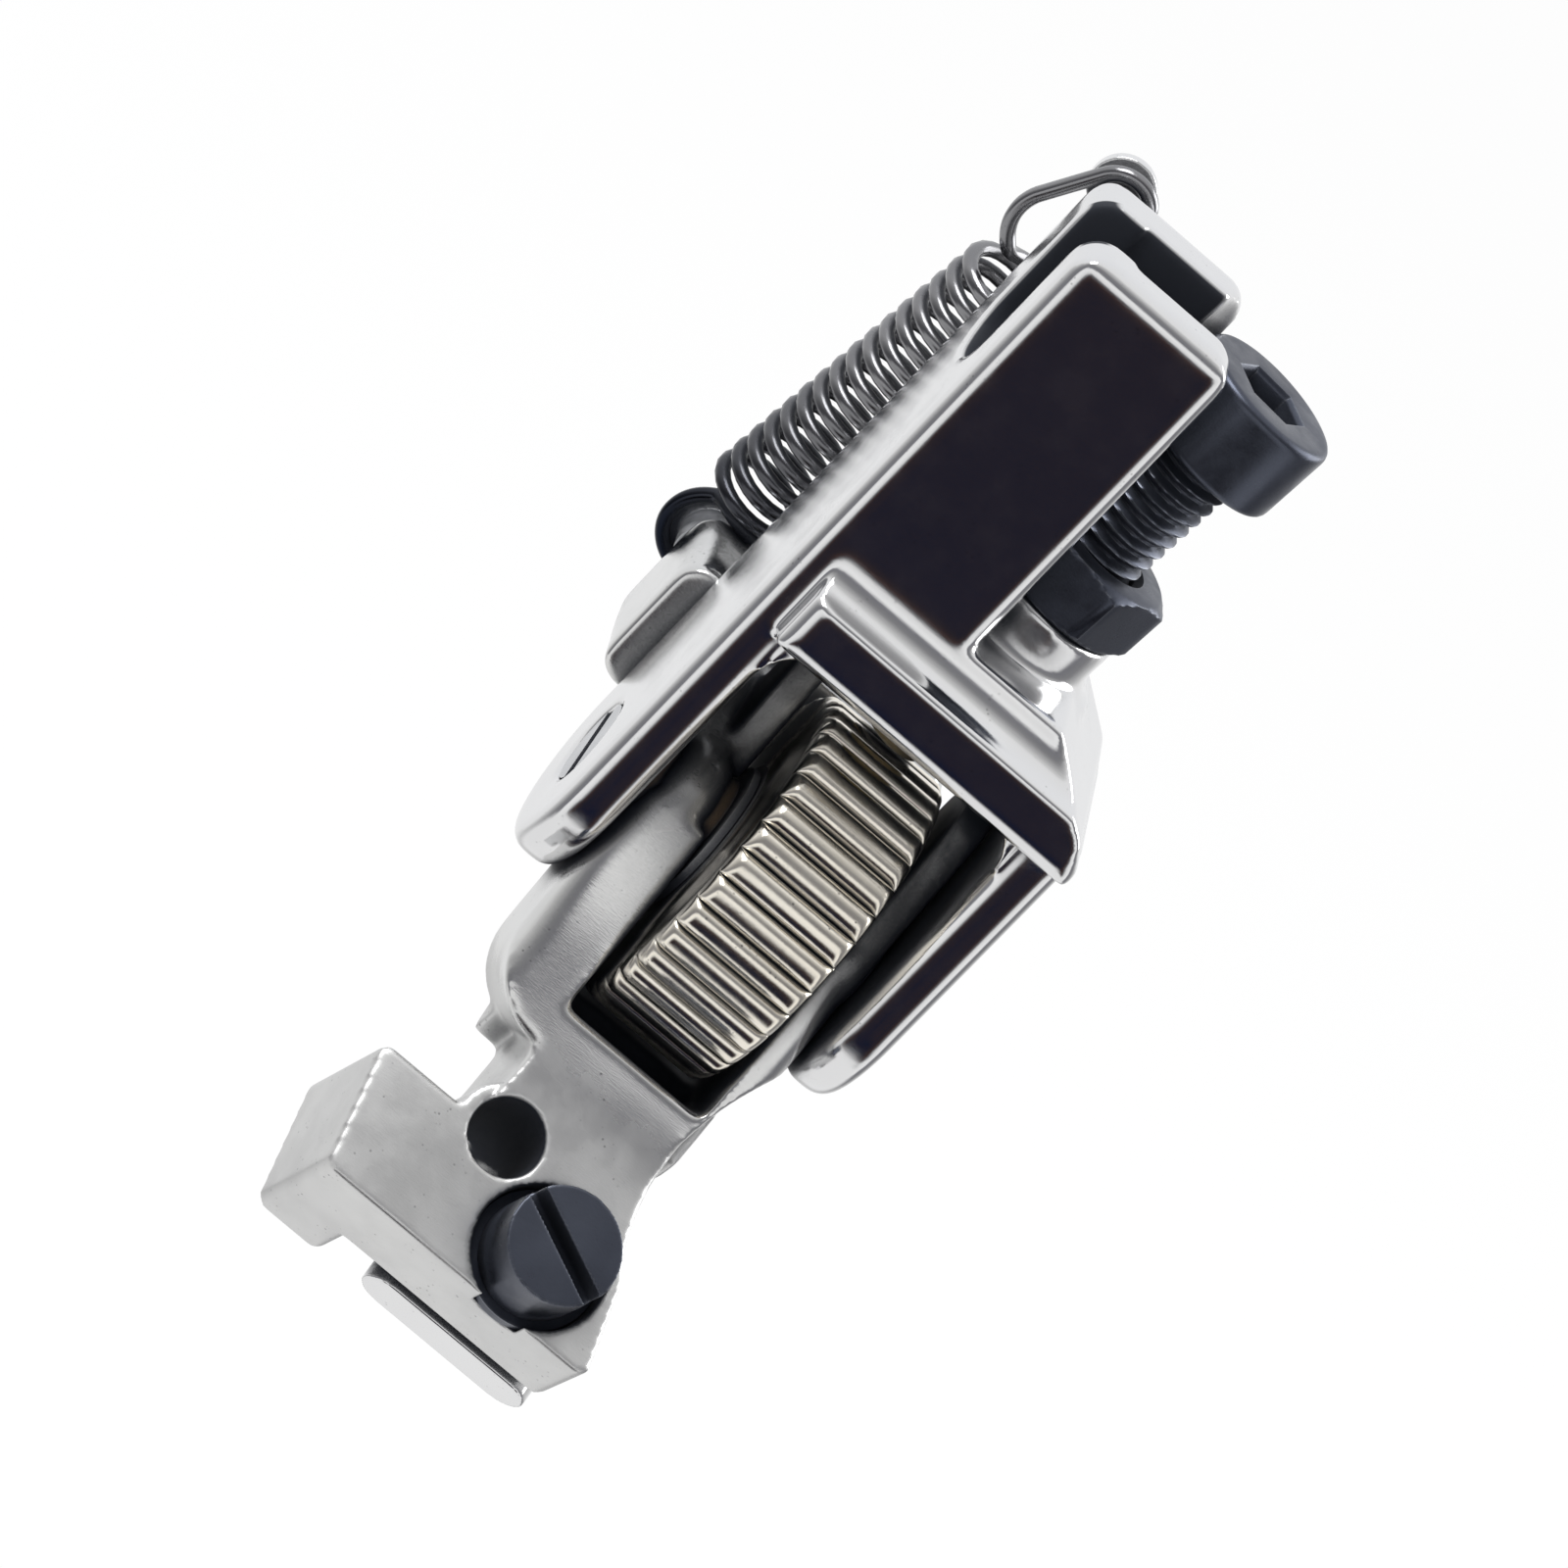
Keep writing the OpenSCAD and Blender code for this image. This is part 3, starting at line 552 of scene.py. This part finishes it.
def hole_lip():
    """A lip behind the needle hole's upper right side, so its wall is as long there as below."""
    right, down_toe = Vector((1, 0, 0)), Vector((0, -1, -1)).normalized()
    outward = (right * LIP_RIGHT - down_toe * LIP_UP).normalized()
    along = outward.cross(HOLE_AXIS)
    axle = Vector((HOLE_POINT.x, CHANNEL_Y, -CLAMP_Z))
    start = HOLE_POINT - HOLE_AXIS * HOLE_AXIS.dot(HOLE_POINT - axle)
    return [start + outward * out + along * side - HOLE_AXIS * deep
            for out in (HOLE_R, HOLE_R + LIP_T)
            for side in (-LIP_HALF_W, LIP_HALF_W)
            for deep in LIP_DEPTHS]


softened("polished_yoke", "shank_yoke", 0.16, 16)
softened("forked_lever", "fork_lever", 0.15, 40, lever_weight, (right_horn(), hole_lip()))
softened("sole", "sole_plate", 0.09, 8)
softened("toe_clamp_screw", "toe_screw", 0.07, 5)
softened("anchor_pin", "spring_anchor", 0.08, 5)
softened("post", "spring_post", 0.08, 5)

# ---- feed wheel ----

FLUTES, FLUTE_DEPTH, STEPS_PER_FLUTE = 34, 0.62, 20
WHEEL_R, WHEEL_W, WHEEL_X = 8.2, 6.5, 6.55
WHEEL_BORE_R, HUB_R, FACE_R, HUB_UP = 4.01, 5.6, 7.0, 0.06
RIDGE_POWER = 2.4
FLUTE_ENDS = ((0.0, 0.15), (0.12, 0.6), (0.3, 0.88), (0.5, 1.0))


def flute(share):
    """Radius of the rim at an angle: half-round ridges, of a share of their full height."""
    def radius(angle):
        across = abs((angle * FLUTES / (2 * math.pi)) % 1.0 - 0.5) * 2
        ridge = max(0.0, 1 - across ** RIDGE_POWER) ** 0.5
        return WHEEL_R - FLUTE_DEPTH + FLUTE_DEPTH * share * ridge
    return radius


def make_wheel():
    face = WHEEL_X + HUB_UP
    rings = [(WHEEL_X, WHEEL_BORE_R), (WHEEL_X, HUB_R), (face, HUB_R + 0.15), (face, FACE_R)]
    rings += [(face + out, flute(share)) for out, share in FLUTE_ENDS]
    middle = [(WHEEL_X + WHEEL_W * part, flute(1.0)) for part in (0.25, 0.5, 0.75)]
    mirror = [(2 * WHEEL_X + WHEEL_W - h, r) for h, r in reversed(rings)]
    return turned("fluted_wheel", "feed_wheel", rings + middle + mirror,
                  FLUTES * STEPS_PER_FLUTE, ALONG_AXLE, sharp=75, bored=True)


make_wheel()

# ---- adjusting screw and nut ----

THREAD_R, PITCH, THREAD_DEPTH, STEPS_PER_TURN = 2.0, 0.7, 0.36, 10
HEAD_R, HEAD_UP, HEAD_H, SCREW_L, HEAD_ROUND = 3.5, 8.8, 4.0, 16.0, 0.45
SOCKET_AF, SOCKET_DEEP, SOCKET_TIP = 3.0, 2.0, 2.5
SOCKET_MOUTH = ((0.0, 0.5), (0.02, 0.3), (0.18, 0.08), (0.3, 0.0), (SOCKET_DEEP, 0.0))
NUT_AF, NUT_H, NUT_TURN = 7.0, 3.0, math.radians(-10)
NUT_BORE_R, NUT_FLAT_R = THREAD_R + 0.04, NUT_AF / 2 - 0.12
NUT_CUTS = ((0.06, 3.5), (0.16, 3.66), (0.28, 3.86), (0.42, NUT_AF / math.sqrt(3) + 0.01))


def hexagon(across, most=None, turn=0.0):
    """Radius of a hexagon at an angle, cut off by a cone where most is given."""
    def radius(angle):
        local = (angle - turn) % (math.pi / 3) - math.pi / 6
        r = across / 2 / math.cos(local)
        return r if most is None else min(r, most)
    return radius


def thread(height):
    """Radius of the thread's outline at a height, one turn per pitch."""
    def radius(angle):
        phase = (height / PITCH - angle / (2 * math.pi)) % 1.0
        rise = max(0.0, 1 - abs(phase - 0.5) * 2.5)
        return THREAD_R - THREAD_DEPTH + THREAD_DEPTH * min(1.0, rise * 1.15)
    return radius


def make_screw():
    low, top = HEAD_UP - SCREW_L, HEAD_UP + HEAD_H
    rings = [(low, 1.2), (low + 0.25, 1.55)]
    for i in range(int((SCREW_L - 0.6) / PITCH * STEPS_PER_TURN)):
        height = low + 0.3 + i * PITCH / STEPS_PER_TURN
        rings.append((height, thread(height)))
    rings.append((HEAD_UP - 0.12, 1.9))
    head = [(HEAD_UP, 1.95), (HEAD_UP, HEAD_R), (top, HEAD_R), (top, 1.95)]
    rings += rounded(head, HEAD_ROUND, 5)[1:-1]
    rings += [(top - deep, hexagon(SOCKET_AF + grow)) for deep, grow in SOCKET_MOUTH]
    rings.append((top - SOCKET_TIP, 0.5))
    return turned("threaded_screw", "adjusting_screw", rings, 96, ON_SCREW, sharp=32)


def make_nut():
    rings = [(0.0, NUT_BORE_R), (0.0, 2.3), (0.0, NUT_FLAT_R)]
    rings += [(up, hexagon(NUT_AF, most, NUT_TURN)) for up, most in NUT_CUTS]
    rings += [(NUT_H - up, hexagon(NUT_AF, most, NUT_TURN)) for up, most in reversed(NUT_CUTS)]
    rings += [(NUT_H, NUT_FLAT_R), (NUT_H, 2.35), (NUT_H - 0.25, NUT_BORE_R)]
    return turned("hex_lock_nut", "lock_nut", rings, 120, ON_SCREW, sharp=32, bored=True)


make_screw()
make_nut()

# ---- spring: one wire, coiled, with a long hook above and a loop below ----

WIRE_R, COIL_R, HOOK_R, HOOK_H, COILS = 0.35, 2.3, 2.6, 3.3, 16
PIN_R, POST_R, HANG = 0.9, 1.4, 0.12
TIP_R = PIN_R + WIRE_R + HANG
TIP = Vector((1.7, 7.2, 31.0))
LOW = Vector((0.3, 14.2, 4.9 + COIL_R - WIRE_R - POST_R - HANG))
SPAN = TIP - LOW
LENGTH = SPAN.length - HOOK_H
COIL_LOW, COIL_HIGH = COIL_R + 0.5, LENGTH - HOOK_R - 0.5
COIL_STEP, SWING_STEP, LOOP_STEP, LOOP_START = 15, 12, 4, -106
END_STEPS, SWING_STEPS = 84, 15
WIRE_SIDES = 12


def along_spring():
    """Places the spring's own frame, with its lower loop at the foot and Z along the coil."""
    lean_x = math.asin(-SPAN.y / SPAN.length)
    lean_y = math.asin(SPAN.x / SPAN.length / math.cos(lean_x))
    return (Matrix.Translation(LOW) @ Matrix.Rotation(lean_y, 4, "Y")
            @ Matrix.Rotation(lean_x, 4, "X"))


def on_coil(degrees):
    angle = math.radians(degrees)
    rise = (COIL_HIGH - COIL_LOW) / COILS * degrees / 360
    return Vector((COIL_R * math.cos(angle), COIL_R * math.sin(angle), COIL_LOW + rise))


def on_loop(height, radius, degrees):
    angle = math.radians(degrees)
    return Vector((-radius * math.cos(angle), 0, height + radius * math.sin(angle)))


def on_hook(degrees):
    """Round HOOK_R below, round the pin above, straight between."""
    turn = math.degrees(math.asin((HOOK_R - TIP_R) / HOOK_H))
    above = turn < degrees < 180 - turn
    return on_loop(LENGTH + HOOK_H, TIP_R, degrees) if above else on_loop(LENGTH, HOOK_R, degrees)


def wire_points():
    """Centre line of the wire, from the lower loop's end to the hook's end."""
    low, high = [], []
    for i in range(1, END_STEPS + 1):
        share = min(1.0, i / SWING_STEPS)
        swing = share * share * (3 - 2 * share)
        turn = LOOP_STEP * i + LOOP_START
        last_turn = on_coil(360 * COILS + SWING_STEP * i)
        high.append(last_turn.lerp(on_hook(turn), swing))
        loop = on_loop(0, COIL_R, turn)
        below = Vector((loop.x, loop.y, -loop.z))
        low.append(on_coil(-SWING_STEP * i).lerp(below, swing))
    coil = [on_coil(COIL_STEP * i) for i in range(360 // COIL_STEP * COILS + 1)]
    return low[::-1] + coil + high


def make_spring():
    points = wire_points()
    place = ON_BAR @ along_spring()
    side = Vector((0, 0.3, 1))
    loops = []
    for i, point in enumerate(points):
        ahead = (points[min(i + 1, len(points) - 1)] - points[max(i - 1, 0)]).normalized()
        side = (side - ahead * side.dot(ahead)).normalized()
        other = ahead.cross(side)
        loop = []
        for k in range(WIRE_SIDES):
            angle = 2 * math.pi * k / WIRE_SIDES
            offset = side * math.cos(angle) + other * math.sin(angle)
            loop.append(place @ (point + offset * WIRE_R))
        loops.append(loop)
    mesh = skinned("coiled_spring", loops, sharp=60)
    spring = piece_from("coiled_spring", mesh, "tension_spring", blended=True)
    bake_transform(spring)


make_spring()

# ---- stage ----

FLOOR_HALF, FLOOR_DROP, FLOOR_GLOW = 2.0, 0.07, 0.93
DARK_SIDE = Vector((0.17, -0.80, -0.57)).normalized()
# Share of the way from behind (0) to the dark side (1), and the room's colour there
ROOM_STOPS = (
    (0.0, (0.92, 0.93, 0.95)), (0.30, (0.88, 0.88, 0.88)), (0.395, (0.58, 0.58, 0.58)),
    (0.56, (0.24, 0.24, 0.25)), (0.695, (0.20, 0.20, 0.22)), (0.735, (0.90, 0.90, 0.90)),
    (0.79, (0.95, 0.95, 0.95)), (0.88, (0.80, 0.80, 0.80)), (0.925, (0.10, 0.10, 0.11)),
    (0.945, (0.055, 0.030, 0.026)), (0.962, (0.018, 0.017, 0.024)),
    (1.0, (0.005, 0.010, 0.028)))
WARM, PALE, WHITE = (0.05, 0.027, 0.022, 1), (0.90, 0.90, 0.90, 1), (1, 1, 1, 1)
OBJECT_MIDDLE = (0.005, 0, -0.02)
LAMP_SIZE = 0.25
CAMERA_PLACE = (-0.07156821, -0.41097638, 0.13130626)
CAMERA_RIGHT = Vector((0.75033354, 0.10399359, 0.65282839))
CAMERA_UP = Vector((-0.63841257, 0.37026841, 0.67478196))
SENSOR_W, LENS = 36.0, 242.34


def make_floor():
    bm = bmesh.new()
    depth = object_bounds()[0].z - FLOOR_DROP
    corners = [(-FLOOR_HALF, -FLOOR_HALF), (FLOOR_HALF, -FLOOR_HALF),
               (FLOOR_HALF, FLOOR_HALF), (-FLOOR_HALF, FLOOR_HALF)]
    bm.faces.new([bm.verts.new((x, y, depth)) for x, y in corners])
    mesh = bpy.data.meshes.new("floor")
    bm.to_mesh(mesh)
    bm.free()
    floor = bpy.data.objects.new("floor", mesh)
    bpy.context.scene.collection.objects.link(floor)
    material = bpy.data.materials.new("pale_floor")
    material.use_nodes = True
    tree = material.node_tree
    shader = tree.nodes["Principled BSDF"]
    shader.inputs["Base Color"].default_value = (0.9, 0.9, 0.9, 1)
    shader.inputs["Roughness"].default_value = 0.9
    seen = put(tree, "LightPath").outputs["Is Camera Ray"]
    glow = put(tree, "Emission", Color=WHITE, Strength=1.0).outputs[0]
    share = maths(tree, "MULTIPLY", seen, FLOOR_GLOW)
    mix = put(tree, "MixShader", i0=share, i1=shader.outputs[0], i2=glow).outputs[0]
    tree.links.new(mix, tree.nodes["Material Output"].inputs["Surface"])
    mesh.materials.append(material)
    floor.visible_glossy = False


def make_world():
    """A white room that is dark on one side, which the polished faces mirror."""
    world = bpy.data.worlds.new("studio")
    bpy.context.scene.world = world
    world.use_nodes = True
    tree = world.node_tree
    room = tree.nodes["Background"]
    toward = put(tree, "TexCoord").outputs["Generated"]
    lined_up = vectors(tree, "DOT_PRODUCT", toward, tuple(DARK_SIDE), "Value")
    unevenness = noise(tree, toward, Scale=9.0, Detail=2.0)
    shift = maths(tree, "MULTIPLY", maths(tree, "SUBTRACT", unevenness, 0.5), 0.05)
    half = maths(tree, "MULTIPLY", maths(tree, "ADD", lined_up, 1.0), 0.5)
    ramp = put(tree, "ValToRGB", Fac=maths(tree, "ADD", half, shift))
    elements = ramp.color_ramp.elements
    elements[0].position = 0.0
    elements[1].position = 1.0
    for position, _ in ROOM_STOPS[1:-1]:
        elements.new(position)
    for element, (_, colour) in zip(elements, ROOM_STOPS):
        element.color = (*colour, 1)
    blotches = noise(tree, toward, Scale=22.0, Detail=3.0)
    warm = maths(tree, "MULTIPLY", remap(tree, blotches, 0.5, 0.66),
                 remap(tree, half, 0.94, 0.96))
    tinted = mixed(tree, warm, ramp.outputs[0], WARM)
    rise = put(tree, "SeparateXYZ", Vector=toward).outputs["Z"]
    lit = mixed(tree, remap(tree, rise, -0.62, -0.80), tinted, PALE)
    seen = put(tree, "LightPath").outputs["Is Camera Ray"]
    tree.links.new(mixed(tree, seen, lit, WHITE), room.inputs["Color"])
    room.inputs["Strength"].default_value = 1.0


def make_lamp(name, place, power):
    """A square soft lamp that points at the object's middle."""
    data = bpy.data.lights.new(name, "AREA")
    data.shape = "SQUARE"
    data.size = LAMP_SIZE
    data.energy = power
    lamp = bpy.data.objects.new(name, data)
    lamp.location = place
    lamp.rotation_mode = "QUATERNION"
    lamp.rotation_quaternion = (Vector(OBJECT_MIDDLE) - Vector(place)).to_track_quat("-Z", "Y")
    bpy.context.scene.collection.objects.link(lamp)


def make_camera():
    data = bpy.data.cameras.new("camera")
    data.sensor_width = SENSOR_W
    data.lens = LENS
    data.clip_start, data.clip_end = 0.01, 10.0
    camera = bpy.data.objects.new("camera", data)
    back = CAMERA_RIGHT.cross(CAMERA_UP)
    turn = Matrix((CAMERA_RIGHT, CAMERA_UP, back)).transposed().to_4x4()
    camera.matrix_world = Matrix.Translation(CAMERA_PLACE) @ turn
    bpy.context.scene.collection.objects.link(camera)
    bpy.context.scene.camera = camera


make_floor()
make_world()
make_lamp("key", (-0.25, -0.05, 0.35), 1.2)
make_lamp("fill", (0.30, 0.15, 0.15), 0.6)
make_camera()

view = bpy.context.scene.view_settings
view.view_transform = "Standard"
